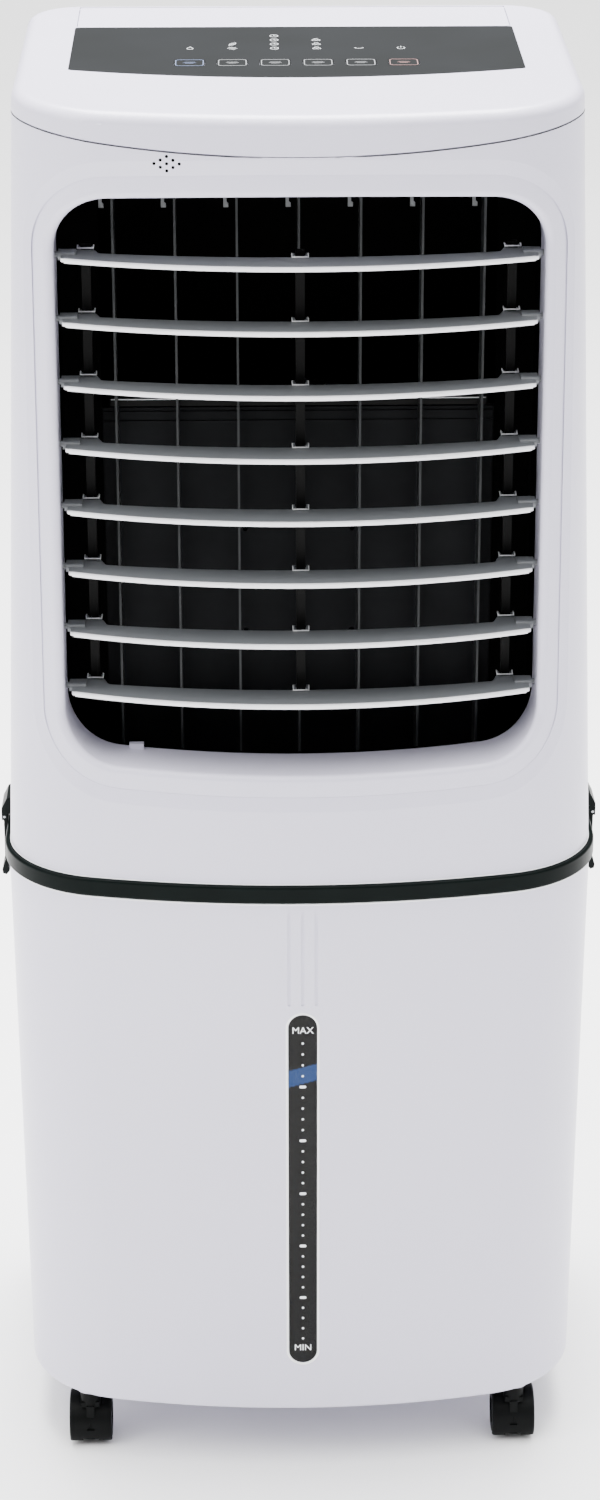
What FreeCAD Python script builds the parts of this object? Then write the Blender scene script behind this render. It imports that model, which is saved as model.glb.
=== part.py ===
import FreeCAD, Part
import math
import os
from FreeCAD import Vector as V

# Evaporative air cooler: a water tank on four twin-wheel casters, and an upper housing with the
# blower, the cooling pad and two sets of air blades. Millimetres. X is to the right as seen from
# the front, -Y is the front, Z is up. The origin is on the floor, under the middle of the waist.

# ---- driving dimensions -------------------------------------------------------------------
TANK_BASE_Z = 57.0          # underside of the tank
WAIST_Z = 551.5             # top of the tank, underside of the waist band
BAND_H = 16.0
BAND_PROUD = 3.5            # the band stands this far out from the shells
SEAM_Z = 1170.0             # lowest point of the seam between housing and cap, at the front
SEAM_R = 1400.0             # the seam is an arc of this radius, seen from the front
CAP_FRONT_Z = 1201.0        # front edge of the cap's top
TOP_SLOPE = 4.2             # the top rises to the rear by this many degrees

WAIST_HALF = 250.0          # half width at the waist
TANK_BASE_HALF = 244.0
SEAM_HALF = 229.5
FRONT_Y = -200.0            # front centre at the waist
TANK_BASE_FRONT = -194.5
SEAM_FRONT = -180.5
BACK_Y = 203.0
NOSE_R = 750.0              # plan radius of the front
SIDE_R = 95.0               # plan radius of the front corners
REAR_R = 45.0               # plan radius of the rear corners
WALL = 3.0

OPEN_HALF = 195.0           # air outlet in the housing front
OPEN_LOW = 662.0
OPEN_HIGH = 1138.5
OPEN_CORNER = 46.0
OPEN_SAG = 6.0              # the outlet's top and bottom edges are bowed by this much
FLANGE_DEPTH = 56.0         # the outlet's flange follows the curved front, this far behind it
DISH_RIM = 18.0             # a shallow dish surrounds the outlet, this wide
DISH_DEPTH = 2.5
DISH_SLOPE = 12.0           # width of the dish's sloping border
MOUTH_R = 5.0
FRAME_HALF = 195.0          # inside of the dark frame behind the flange
FRAME_LOW = 628.0
FRAME_HIGH = 1138.0
FRAME_BACK = -49.0

LOUVER_COUNT = 8
LOUVER_TOP_Z = 1081.8       # pivot of the top louver
LOUVER_PITCH = 51.5
LOUVER_PIVOT_DEPTH = 64.0   # pivot behind the housing front
LOUVER_HALF = 189.5
SIDE_LINK_X = 171.0
SIDE_LINK_DY = 16.0         # side link pins behind the pivot
CENTRE_LINK_DY = -13.0      # centre link pins in front of the pivot
LINK_PIN_R = 1.3

VANE_COUNT = 7
VANE_PITCH = 50.0
VANE_PIVOT_Y = -80.0
VANE_LINK_Y = -62.0
VANE_LINK_Z = 945.0
VANE_LOW = 632.0
VANE_HIGH = 1134.0

FIT = 0.05                  # radial clearance of a running fit
GAP = 0.3                   # clearance between fixed pieces

WHEEL_R = 20.0
CASTER_X = 190.5
CASTER_Y = (-152.0, 150.0)
CASTER_TRAIL = 12.0

BLOWER_Z = 786.0
BLOWER_BACK = 125.0
WHEEL_OUT_R = 133.0

PANEL_HALF = 185.0          # control panel, in the tilted frame of the top
PANEL_FRONT = 124.5
PANEL_SAG = 27.5
PANEL_BACK = 298.3
PANEL_T = 2.3
KEY_COUNT = 6
KEY_PITCH = 34.9
KEY_ROW = 174.0
KEY_W = 25.0
KEY_D = 22.0
LID_FRONT = 300.4
LID_BACK = 370.5
LID_HALF = 183.5
LID_AXIS = (368.0, -1.6)

LATCH_Y = (-54.0, -20.0)    # front and rear of each side latch
LATCH_PIN = (256.4, 571.0)  # x and z of the latch pin


# ---- small helpers --------------------------------------------------------------------------
def box(x0, x1, y0, y1, z0, z1):
    return Part.makeBox(x1 - x0, y1 - y0, z1 - z0, V(x0, y0, z0))


def rod(radius, start, end):
    start, end = V(*start), V(*end)
    return Part.makeCylinder(radius, (end - start).Length, start, end - start)


def fuse(shapes):
    first, rest = shapes[0], shapes[1:]
    return first.fuse(rest).removeSplitter() if rest else first


def polygon_xz(points, y0, y1):
    corners = [V(x, y0, z) for x, z in points]
    face = Part.Face(Part.makePolygon(corners + corners[:1]))
    return face.extrude(V(0, y1 - y0, 0))


def is_along(edge, direction):
    if len(edge.Vertexes) != 2 or not isinstance(edge.Curve, Part.Line):
        return False
    run = edge.Vertexes[1].Point - edge.Vertexes[0].Point
    return run.cross(direction).Length < 1e-4 * run.Length


def round_edges(shape, direction, radius, keep=lambda edge: True):
    edges = [e for e in shape.Edges if is_along(e, direction) and keep(e)]
    return shape.makeFillet(radius, edges)


def capsule_prism(half_width, low, high, y0, y1, x=0.0):
    body = box(x - half_width, x + half_width, y0, y1, low + half_width, high - half_width)
    ends = [rod(half_width, (x, y0, z), (x, y1, z)) for z in (low + half_width, high - half_width)]
    return fuse([body] + ends)


def mirror_x(shape):
    return shape.mirror(V(0, 0, 0), V(1, 0, 0))


def save(name, shape):
    shape.exportStep("parts/%s.step" % name)
    print("%-20s solids %2d  valid %s" % (name, len(shape.Solids), shape.isValid()))


# ---- the outer form -------------------------------------------------------------------------
def blend(z, low, high):
    (z0, v0), (z1, v1) = low, high
    return v0 + (v1 - v0) * (z - z0) / (z1 - z0)


def housing_half(z):
    return blend(z, (WAIST_Z + BAND_H, WAIST_HALF - 1.2), (SEAM_Z, SEAM_HALF))


def housing_front(z):
    return blend(z, (WAIST_Z + BAND_H, FRONT_Y), (SEAM_Z, SEAM_FRONT))


def tank_half(z):
    return blend(z, (TANK_BASE_Z, TANK_BASE_HALF), (WAIST_Z, WAIST_HALF))


def tank_front(z):
    return blend(z, (TANK_BASE_Z, TANK_BASE_FRONT), (WAIST_Z, FRONT_Y))


def plan_wire(z, half, front, inset=0.0):
    """Closed outline at height z: a wide front arc, round corners, straight sides and back."""
    half, front, back = half - inset, front + inset, BACK_Y - inset
    nose, side, rear = NOSE_R - inset, SIDE_R - inset, REAR_R - inset
    nose_c = V(0, front + nose, z)
    side_x = half - side
    side_c = V(side_x, nose_c.y - math.sqrt((nose - side) ** 2 - side_x ** 2), z)
    tangent = nose_c + (side_c - nose_c) * (nose / (nose - side))
    turn = math.atan2(tangent.y - side_c.y, tangent.x - side_c.x) / 2
    side_mid = side_c + V(math.cos(turn), math.sin(turn), 0) * side
    rear_c = V(half - rear, back - rear, z)
    rear_mid = rear_c + V(1, 1, 0).normalize() * rear
    right = [tangent, side_mid, V(half, side_c.y, z), V(half, rear_c.y, z), rear_mid, V(rear_c.x, back, z)]
    left = [V(-p.x, p.y, z) for p in right]
    edges = [Part.Arc(left[0], V(0, front, z), right[0]), Part.Arc(right[0], right[1], right[2]),
             Part.LineSegment(right[2], right[3]), Part.Arc(right[3], right[4], right[5]),
             Part.LineSegment(right[5], left[5]), Part.Arc(left[5], left[4], left[3]),
             Part.LineSegment(left[3], left[2]), Part.Arc(left[2], left[1], left[0])]
    return Part.Wire([e.toShape() for e in edges])


def housing_form(z0, z1, inset=0.0):
    wires = [plan_wire(z, housing_half(z), housing_front(z), inset) for z in (z0, z1)]
    return Part.makeLoft(wires, True, True)


def tank_form(z0, z1, inset=0.0):
    wires = [plan_wire(z, tank_half(z), tank_front(z), inset) for z in (z0, z1)]
    return Part.makeLoft(wires, True, True)


def above_seam(drop=0.0):
    """Everything above the smiling seam, lowered by drop."""
    z = SEAM_Z + SEAM_R - drop
    return rod(SEAM_R, (0, -400, z), (0, 400, z))


def outlet_prism(grow, y0, y1):
    """The air outlet's rounded outline, grown by some millimetres and drawn along Y."""
    half, low, high = OPEN_HALF + grow, OPEN_LOW - grow, OPEN_HIGH + grow
    rise = OPEN_SAG * (half / OPEN_HALF) ** 2
    a, b = V(-half, y0, low + rise), V(half, y0, low + rise)
    c, d = V(half, y0, high - rise), V(-half, y0, high - rise)
    edges = [Part.Arc(a, V(0, y0, low), b), Part.LineSegment(b, c),
             Part.Arc(c, V(0, y0, high), d), Part.LineSegment(d, a)]
    face = Part.Face(Part.Wire([e.toShape() for e in edges]))
    return round_edges(face.extrude(V(0, y1 - y0, 0)), V(0, 1, 0), OPEN_CORNER + grow)


def behind_front(depth):
    """The space behind the housing's curved front once that front is moved back by depth."""
    space = housing_form(580.0, 1190.0)
    space.translate(V(0, depth, 0))
    return space


# ---- tilted frame of the top ----------------------------------------------------------------
TOP_PLACE = FreeCAD.Placement(V(0, SEAM_FRONT, CAP_FRONT_Z), FreeCAD.Rotation(V(1, 0, 0), TOP_SLOPE))


def on_top(shape):
    """Takes a shape drawn with X, distance from the front and height above the top's surface."""
    placed = shape.copy()
    placed.Placement = TOP_PLACE.multiply(placed.Placement)
    return placed


def key_x(index):
    return (index - (KEY_COUNT - 1) / 2) * KEY_PITCH


def key_block(index, grow, w0, w1, corner=3.0):
    x = key_x(index)
    half_w, half_d = KEY_W / 2 + grow, KEY_D / 2 + grow
    block = box(x - half_w, x + half_w, KEY_ROW - half_d, KEY_ROW + half_d, w0, w1)
    return round_edges(block, V(0, 0, 1), corner + grow)


def panel_plate(grow, w0, w1):
    half, front, back = PANEL_HALF + grow, PANEL_FRONT - grow, PANEL_BACK + grow
    side = front + PANEL_SAG
    a, b = V(-half, side, w0), V(half, side, w0)
    c, d = V(half, back, w0), V(-half, back, w0)
    edges = [Part.Arc(a, V(0, front, w0), b), Part.LineSegment(b, c),
             Part.LineSegment(c, d), Part.LineSegment(d, a)]
    plate = Part.Face(Part.Wire([e.toShape() for e in edges])).extrude(V(0, 0, w1 - w0))
    return round_edges(plate, V(0, 0, 1), 4.0 + grow)


# ---- tank, band, window -----------------------------------------------------------------------
WINDOW_LOW, WINDOW_HIGH, WINDOW_HALF = 105.5, 448.0, 12.7
DRAIN_X, DRAIN_Z = 120.0, 92.0
CASTER_POSTS = [(sx * CASTER_X, y) for y in CASTER_Y for sx in (-1, 1)]


def water_tank():
    outer = tank_form(TANK_BASE_Z, WAIST_Z)
    base_edges = [e for e in outer.Edges if e.BoundBox.ZMax < TANK_BASE_Z + 0.01]
    outer = outer.makeFillet(5.0, base_edges)
    tank = outer.cut(tank_form(TANK_BASE_Z + 4, WAIST_Z + 1, WALL))
    posts = [rod(12, (x, y, TANK_BASE_Z), (x, y, TANK_BASE_Z + 26)) for x, y in CASTER_POSTS]
    rim = tank_form(WAIST_Z - 12, WAIST_Z, WALL - 0.5).cut(tank_form(WAIST_Z - 13, WAIST_Z + 1, 9.0))
    boss = rod(17, (DRAIN_X, BACK_Y - 8, DRAIN_Z), (DRAIN_X, BACK_Y - 1, DRAIN_Z))
    tank = fuse([tank, rim, boss] + posts)
    sockets = [rod(5 + FIT, (x, y, TANK_BASE_Z - 1), (x, y, TANK_BASE_Z + 22)) for x, y in CASTER_POSTS]
    grooves = [capsule_prism(1.3, 456, 542, -230, -150, x) for x in (-11.4, 0.0, 11.4)]
    skin = tank_form(TANK_BASE_Z, WAIST_Z).cut(tank_form(TANK_BASE_Z - 5, WAIST_Z + 5, 0.8))
    grooves = [g.common(skin) for g in grooves]
    window = capsule_prism(WINDOW_HALF, WINDOW_LOW, WINDOW_HIGH, -230, -150)
    drain = rod(9 + FIT, (DRAIN_X, BACK_Y - 20, DRAIN_Z), (DRAIN_X, BACK_Y + 5, DRAIN_Z))
    keepers = [latch_pocket(side) for side in (-1, 1)]
    return tank.cut(sockets + grooves + [window, drain] + keepers)


def level_window():
    skin = tank_form(TANK_BASE_Z, WAIST_Z, 0.4).cut(tank_form(TANK_BASE_Z - 5, WAIST_Z + 5, 3.4))
    return skin.common(capsule_prism(WINDOW_HALF - 0.15, WINDOW_LOW + 0.15, WINDOW_HIGH - 0.15, -230, -150))


def waist_band():
    z0, z1 = WAIST_Z, WAIST_Z + BAND_H
    wires = [plan_wire(z, WAIST_HALF, FRONT_Y, -BAND_PROUD) for z in (z0, z1)]
    outer = Part.makeLoft(wires, True, True)
    outer = outer.makeFillet(2.4, [e for e in outer.Edges if abs(e.BoundBox.ZMax - e.BoundBox.ZMin) < 0.01])
    inner = Part.makeLoft([plan_wire(z, WAIST_HALF, FRONT_Y, 9.0) for z in (z0 - 1, z1 + 1)], True, True)
    return outer.cut(inner)


# ---- upper housing --------------------------------------------------------------------------
GRILLE_HALF, GRILLE_LOW, GRILLE_HIGH = 181.0, 612.0, 1124.0
SPEAKER_X, SPEAKER_Z, SPEAKER_STEP_X, SPEAKER_STEP_Z = -103.7, 1164.6, 4.9, 2.85
SCREW_SPOTS = [(x, z) for z in (592.0, 1150.0) for x in (-158.0, 158.0)]
CORD_X, CORD_Z = -120.0, 592.0


def speaker_holes():
    holes = []
    for row, count in zip((-2, -1, 0, 1, 2), (1, 2, 3, 2, 1)):
        for i in range(count):
            x = SPEAKER_X + (2 * i - (count - 1)) * SPEAKER_STEP_X
            z = SPEAKER_Z + row * SPEAKER_STEP_Z
            holes.append(rod(1.3, (x, -210, z), (x, -150, z)))
    return holes


def ledge_tab():
    """Small tab on the rear edge of the outlet's lower ledge."""
    return box(-143.5, -131.5, -135.0, -129.0, OPEN_LOW - 1, OPEN_LOW + 7.5)


def upper_housing():
    z0 = WAIST_Z + BAND_H
    z1 = SEAM_Z + 40
    shell = housing_form(z0, z1).cut(housing_form(z0 - 1, z1 + 1, WALL))
    grille = box(-GRILLE_HALF, GRILLE_HALF, BACK_Y - 10, BACK_Y + 5, GRILLE_LOW, GRILLE_HIGH)
    shell = shell.cut(round_edges(grille, V(0, 1, 0), 12.0))
    foot = housing_form(z0, z0 + 10, WALL - 0.5).cut(housing_form(z0 - 1, z0 + 11, 9.0))
    collar = housing_form(z0, z1, WALL - 0.5).cut(housing_form(z0 - 1, z1 + 1, 8.0))
    collar = collar.common(outlet_prism(DISH_RIM + 5, -260, -60))
    flange = housing_form(z0, z1, 0.5).common(outlet_prism(WALL, -260, 0)).cut(behind_front(FLANGE_DEPTH))
    housing = fuse([shell, foot, collar, flange]).cut(above_seam())
    dish = housing_form(z0 - 1, z1 + 1, -5).cut(housing_form(z0 - 2, z1 + 2, DISH_DEPTH))
    housing = housing.cut([outlet_prism(0.0, -260, 0), dish.common(outlet_prism(DISH_RIM, -260, 0))])
    rim = outlet_edges(housing, 0.0, DISH_RIM)
    housing = housing.makeChamfer(DISH_SLOPE, DISH_DEPTH - 0.3, rim)
    mouth = outlet_edges(housing, DISH_DEPTH, 0.0)
    housing = housing.makeFillet(MOUTH_R, mouth)
    housing = fuse([housing, ledge_tab()])
    tools = speaker_holes()
    for i in range(LOUVER_COUNT):
        y, z = louver_y(i), louver_z(i)
        tools.append(rod(2.5 + FIT, (-OPEN_HALF - 4, y, z), (OPEN_HALF + 4, y, z)))
    tools += [rod(2 + FIT, (x, BACK_Y - 10, z), (x, BACK_Y + 5, z)) for x, z in SCREW_SPOTS]
    tools.append(rod(7 + GAP, (CORD_X, BACK_Y - 10, CORD_Z), (CORD_X, BACK_Y + 5, CORD_Z)))
    return housing.cut(tools)


def outlet_edges(shape, inset, grow):
    """The edges where the outlet's outline, grown by some millimetres, meets the front at this inset."""
    outline = [f for f in outlet_prism(grow, 0, 1).Faces if f.BoundBox.YMax < 0.01][0].OuterWire
    found = []
    for edge in shape.Edges:
        middle = edge.valueAt((edge.FirstParameter + edge.LastParameter) / 2)
        if middle.y > -100 or outline.distToShape(Part.Vertex(middle.x, 0, middle.z))[0] > 0.3:
            continue
        skin = plan_wire(middle.z, housing_half(middle.z), housing_front(middle.z), inset)
        if skin.distToShape(Part.Vertex(middle))[0] < 0.4:
            found.append(edge)
    return found


def outlet_frame():
    """Dark duct behind the flange. Its floor lies lower than the outlet, and it carries the vane pivots."""
    t = 4.0
    outer = box(-FRAME_HALF - t, FRAME_HALF + t, -180, FRAME_BACK, FRAME_LOW - t, FRAME_HIGH + t)
    inner = box(-FRAME_HALF, FRAME_HALF, -181, FRAME_BACK - WALL, FRAME_LOW, FRAME_HIGH)
    outer = round_edges(outer, V(0, 1, 0), 44.0)
    inner = round_edges(inner, V(0, 1, 0), 40.0)
    rear_hole = box(-163, 163, -60, FRAME_BACK + 1, FRAME_LOW, 1128)
    tools = [inner.common(behind_front(FLANGE_DEPTH + GAP + WALL)), rear_hole]
    tools.append(outlet_prism(-0.5, -190, FRAME_BACK - WALL))
    for x in vane_places():
        tools.append(rod(2 + FIT, (x, VANE_PIVOT_Y, FRAME_LOW - 9), (x, VANE_PIVOT_Y, FRAME_HIGH + 9)))
    return outer.common(behind_front(FLANGE_DEPTH + GAP)).cut(tools)


# ---- louvers --------------------------------------------------------------------------------
def louver_z(i):
    return LOUVER_TOP_Z - i * LOUVER_PITCH


def louver_y(i):
    return housing_front(louver_z(i)) + LOUVER_PIVOT_DEPTH


LIP_DY = -58.5              # front centre of a louver, from its pivot
LIP_BOW = 36.0              # the ends lie this much further back than the centre
REAR_DY = -20.0
REAR_BOW = 18.0
REAR_HALF = 160.0
BLADE_T = 2.4
LIP_T = 3.6
LIP_LOW = -2.0              # underside of the lip, from the pivot
LIP_INSET = 1.2             # the blade's edge lies this far inside the lip


def arc_band(half, centre_y, bow, depth, z0, z1):
    """A strip between two equal arcs, one depth behind the other."""
    def ends(y):
        return V(-half, y + bow, z0), V(0, y, z0), V(half, y + bow, z0)
    a, m, b = ends(centre_y)
    c, n, d = ends(centre_y + depth)
    edges = [Part.Arc(a, m, b), Part.LineSegment(b, d), Part.Arc(d, n, c), Part.LineSegment(c, a)]
    return Part.Face(Part.Wire([e.toShape() for e in edges])).extrude(V(0, 0, z1 - z0))


def louver_at_origin():
    """One louver with its pivot on the X axis."""
    half, z0 = LOUVER_HALF, -BLADE_T / 2
    front_y, rear_y = LIP_DY + LIP_INSET, REAR_DY + REAR_BOW
    end_y = front_y + LIP_BOW
    tail = [V(half, end_y, z0), V(half, 5, z0), V(178, 12, z0), V(164, 12, z0), V(REAR_HALF, rear_y, z0)]
    left = [V(-p.x, p.y, z0) for p in tail]
    edges = [Part.Arc(left[0], V(0, front_y, z0), tail[0]).toShape()]
    edges += [Part.LineSegment(a, b).toShape() for a, b in zip(tail, tail[1:])]
    edges.append(Part.Arc(tail[-1], V(0, REAR_DY, z0), left[-1]).toShape())
    edges += [Part.LineSegment(a, b).toShape() for a, b in zip(left[::-1], left[-2::-1])]
    blade = Part.Face(Part.Wire(edges)).extrude(V(0, 0, BLADE_T))
    blade = round_edges(blade, V(0, 0, 1), 4.0)
    lip = arc_band(half - 3, LIP_DY, LIP_BOW * ((half - 3) / half) ** 2, 3.4, LIP_LOW, LIP_LOW + LIP_T)
    lip = lip.makeFillet(1.2, [e for e in lip.Edges if abs(e.BoundBox.YMin - LIP_DY) < 0.2 and e.Length > half])
    pieces = [blade, lip]
    for side in (-1, 1):
        block = box(178, LOUVER_HALF + 2.7, -8, 8, -3.4, 3.4)
        block = round_edges(block, V(1, 0, 0), 3.0)
        pieces.append(block if side > 0 else mirror_x(block))
        pieces.append(rod(2.5, (side * LOUVER_HALF, 0, 0), (side * (OPEN_HALF + WALL), 0, 0)))
    for x, dy, root in ((-SIDE_LINK_X, SIDE_LINK_DY, 10), (SIDE_LINK_X, SIDE_LINK_DY, 10),
                        (0, CENTRE_LINK_DY, REAR_DY - 2)):
        for side in (-1, 1):
            ear_x = x + side * 5.4
            ear = box(ear_x - 0.9, ear_x + 0.9, root, dy + 2.6, -2.6, 2.6)
            pieces.append(ear)
        pieces.append(rod(LINK_PIN_R, (x - 6, dy, 0), (x + 6, dy, 0)))
    return fuse(pieces)


def louver_link_bar(x, dy):
    top, bottom = louver_z(0), louver_z(LOUVER_COUNT - 1)
    lean = housing_front(top) - housing_front(bottom)
    ends = [(bottom - 6, louver_y(LOUVER_COUNT - 1) + dy - 6 * lean / (top - bottom)),
            (top + 6, louver_y(0) + dy + 6 * lean / (top - bottom))]
    depth = 2.5
    (z0, y0), (z1, y1) = ends
    corners = [V(x - 3.7, y0 - depth, z0), V(x - 3.7, y0 + depth, z0),
               V(x - 3.7, y1 + depth, z1), V(x - 3.7, y1 - depth, z1)]
    bar = Part.Face(Part.makePolygon(corners + corners[:1])).extrude(V(7.4, 0, 0))
    holes = [rod(LINK_PIN_R + FIT, (x - 9, louver_y(i) + dy, louver_z(i)), (x + 9, louver_y(i) + dy, louver_z(i)))
             for i in range(LOUVER_COUNT)]
    return bar.cut(holes)


# ---- vanes ----------------------------------------------------------------------------------
def vane_places():
    return [(i - (VANE_COUNT - 1) / 2) * VANE_PITCH for i in range(VANE_COUNT)]


def vane(x):
    """An upright blade that turns on two end pins, with a short pin for the link bar in a notch."""
    blade = box(x - 0.9, x + 0.9, -90, -56, VANE_LOW, VANE_HIGH)
    blade = round_edges(blade, V(1, 0, 0), 5.0)
    notch = box(x - 3, x + 3, -68, -50, VANE_LINK_Z - 6, VANE_LINK_Z + 6)
    pins = [rod(2, (x, VANE_PIVOT_Y, FRAME_LOW - 3.5), (x, VANE_PIVOT_Y, VANE_LOW + 8)),
            rod(2, (x, VANE_PIVOT_Y, VANE_HIGH - 8), (x, VANE_PIVOT_Y, FRAME_HIGH + 3.5)),
            rod(1.2, (x, VANE_LINK_Y, VANE_LINK_Z - 7), (x, VANE_LINK_Y, VANE_LINK_Z + 7))]
    return fuse([blade.cut(notch)] + pins)


def vane_link():
    reach = vane_places()[-1] + 8
    bar = box(-reach, reach, VANE_LINK_Y - 3.2, VANE_LINK_Y + 3.2, VANE_LINK_Z - 3, VANE_LINK_Z + 3)
    bar = round_edges(bar, V(0, 0, 1), 3.0)
    holes = [rod(1.2 + FIT, (x, VANE_LINK_Y, VANE_LINK_Z - 9), (x, VANE_LINK_Y, VANE_LINK_Z + 9))
             for x in vane_places()]
    return bar.cut(holes)


def swing_motor():
    z = FRAME_HIGH + 4
    can = rod(14, (0, VANE_PIVOT_Y, z), (0, VANE_PIVOT_Y, z + 18))
    ears = box(-24, 24, VANE_PIVOT_Y - 5, VANE_PIVOT_Y + 5, z, z + 2)
    lead_box = box(-8, 8, VANE_PIVOT_Y + 10, VANE_PIVOT_Y + 18, z + 2, z + 14)
    bore = rod(2 + FIT, (0, VANE_PIVOT_Y, z - 1), (0, VANE_PIVOT_Y, z + 3))
    return fuse([can, round_edges(ears, V(0, 0, 1), 4.0), lead_box]).cut(bore)


# ---- cap, panel, keys, lid --------------------------------------------------------------------
def top_cap():
    z0, z1 = SEAM_Z - 20, CAP_FRONT_Z + 60
    cap = housing_form(z0, z1).common(above_seam(8.0))
    cap = cap.cut(on_top(box(-400, 400, -100, 700, 0, 200)))
    cap = cap.makeFillet(10.0, [e for e in cap.Edges if is_top_edge(e)])
    cap = cap.cut(housing_form(z0 - 1, z1, 5.5).cut(on_top(box(-400, 400, -100, 700, -5, 200))))
    outside_skirt = housing_form(z0 - 1, z1, -2).cut(housing_form(z0 - 2, z1 + 1, WALL + GAP))
    cap = cap.cut(outside_skirt.cut(above_seam(-0.7)))
    basin_walls = on_top(box(-176, 176, 302, 376, -33, -4))
    cap = fuse([cap, basin_walls.common(housing_form(z0, z1, 2.0))])
    tools = [panel_plate(0.15, -PANEL_T - 0.2, 5)]
    tools += [key_block(i, -5.5, -8, 5, 8.0) for i in range(KEY_COUNT)]
    tools.append(box(-LID_HALF - 0.5, LID_HALF + 0.5, LID_FRONT - 0.5, LID_BACK + 0.5, -3.2, 5))
    tools.append(round_edges(box(-172, 172, 306, 360, -30, 5), V(0, 0, 1), 8.0))
    tools.append(box(-LID_HALF - 0.5, LID_HALF + 0.5, 362, LID_BACK + 1.5, -6.5, 5))
    tools.append(rod(1.3 + FIT, (-LID_HALF - 4, *LID_AXIS), (LID_HALF + 4, *LID_AXIS)))
    tools.append(rod(8, (0, 333, -40), (0, 333, -20)))
    return cap.cut([on_top(t) for t in tools])


def is_top_edge(edge):
    """True for the edges round the top surface."""
    back = TOP_PLACE.inverse()
    return all(abs(back.multVec(v.Point).z) < 0.01 for v in edge.Vertexes)


def control_panel():
    plate = panel_plate(0.0, -PANEL_T, 0.0)
    return on_top(plate.cut([key_block(i, 0.25, -9, 5) for i in range(KEY_COUNT)]))


def key(index):
    """A flush key: a thin cap in the panel and a stem through the top down to its switch."""
    cap = key_block(index, 0.0, -1.5, 0.0)
    x = key_x(index)
    stem = box(x - 4, x + 4, KEY_ROW - 4, KEY_ROW + 4, -12.0, -1.0)
    return on_top(fuse([cap, stem]))


def control_board():
    board = box(-112, 112, KEY_ROW - 22, KEY_ROW + 30, -17.5, -15.9)
    switches = [box(key_x(i) - 3, key_x(i) + 3, KEY_ROW - 3, KEY_ROW + 3, -15.9, -13.1) for i in range(KEY_COUNT)]
    posts = [rod(2.5, (x, u, -15.9), (x, u, -5.0)) for x in (-106, 106) for u in (KEY_ROW - 17, KEY_ROW + 25)]
    return on_top(fuse([board] + switches + posts))


def top_lid():
    plate = box(-LID_HALF, LID_HALF, LID_FRONT, LID_BACK, -3.0, 0.0)
    plate = round_edges(plate, V(0, 0, 1), 3.0)
    top = [e for e in plate.Edges if e.BoundBox.ZMin > -0.01]
    plate = plate.makeFillet(0.6, top)
    pins = [rod(1.3, (side * (LID_HALF - 3), *LID_AXIS), (side * (LID_HALF + 3.5), *LID_AXIS)) for side in (-1, 1)]
    ribs = [box(x - 1, x + 1, 308, 358, -6.0, -2.0) for x in (-150, -75, 0, 75, 150)]
    return on_top(fuse([plate] + pins + ribs))


# ---- blower ---------------------------------------------------------------------------------
SCROLL_STEP = 12.0
SCROLL_R = 146.0
PLENUM_Z = 937.0


def scroll_prism(grow, y0, y1):
    """Volute of three quarter arcs whose radius grows by one step each, with an open throat."""
    ax, az = -6.0, BLOWER_Z
    radii = [SCROLL_R + grow + k * SCROLL_STEP for k in range(3)]
    centres = [(ax, az), (ax + SCROLL_STEP, az), (ax + SCROLL_STEP, az + SCROLL_STEP)]
    turns = []
    for k, (radius, (cx, cz)) in enumerate(zip(radii, centres)):
        angles = [math.pi / 2 * (1 + k), math.pi / 2 * (1.5 + k), math.pi / 2 * (2 + k)]
        turns.append([V(cx + radius * math.cos(a), y0, cz + radius * math.sin(a)) for a in angles])
    edges = [Part.Arc(*points).toShape() for points in turns]
    first, last, top = turns[0][0], turns[-1][-1], PLENUM_Z + 5
    corners = [last, V(last.x, y0, top), V(first.x, y0, top), first]
    edges += [Part.LineSegment(a, b).toShape() for a, b in zip(corners, corners[1:])]
    return Part.Face(Part.Wire(edges)).extrude(V(0, y1 - y0, 0))


def blower_housing():
    front = FRAME_BACK + 4
    outer = fuse([scroll_prism(WALL, front, BLOWER_BACK),
                  box(-FRAME_HALF, FRAME_HALF, front, BLOWER_BACK, PLENUM_Z - WALL, FRAME_HIGH)])
    inner = fuse([scroll_prism(0, front - 1, BLOWER_BACK - WALL),
                  box(-FRAME_HALF + WALL, FRAME_HALF - WALL, front - 1, BLOWER_BACK - WALL,
                      PLENUM_Z, FRAME_HIGH - WALL)])
    inlet = rod(108, (0, 100, BLOWER_Z), (0, BLOWER_BACK + 1, BLOWER_Z))
    ring = rod(111, (0, BLOWER_BACK - 12, BLOWER_Z), (0, BLOWER_BACK, BLOWER_Z)).cut(inlet)
    return fuse([outer.cut(inner), ring]).cut(inlet)


def blower_cover():
    """Front plate of the blower, behind the lower louvers, with a raised ribbed face."""
    y0, y1 = FRAME_BACK, FRAME_BACK + 4
    plate = box(-FRAME_HALF, FRAME_HALF, y0, y1, 612, PLENUM_Z)
    face = box(-162, 162, y0 - WALL, y0 + 1, FRAME_LOW + 1, PLENUM_Z)
    ribs = [box(-162, 162, y0 - WALL - 1.5, y0, z - 1, z + 1) for z in (PLENUM_Z - 4, PLENUM_Z - 12)]
    bolts = [rod(2.0, (x, y0 - 6, z), (x, y1 + 2, z)) for x in (-45, 45) for z in (BLOWER_Z - 45, BLOWER_Z + 45)]
    return fuse([plate, face] + ribs).cut(bolts)


MOTOR_FRONT = FRAME_BACK + 4


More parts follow.
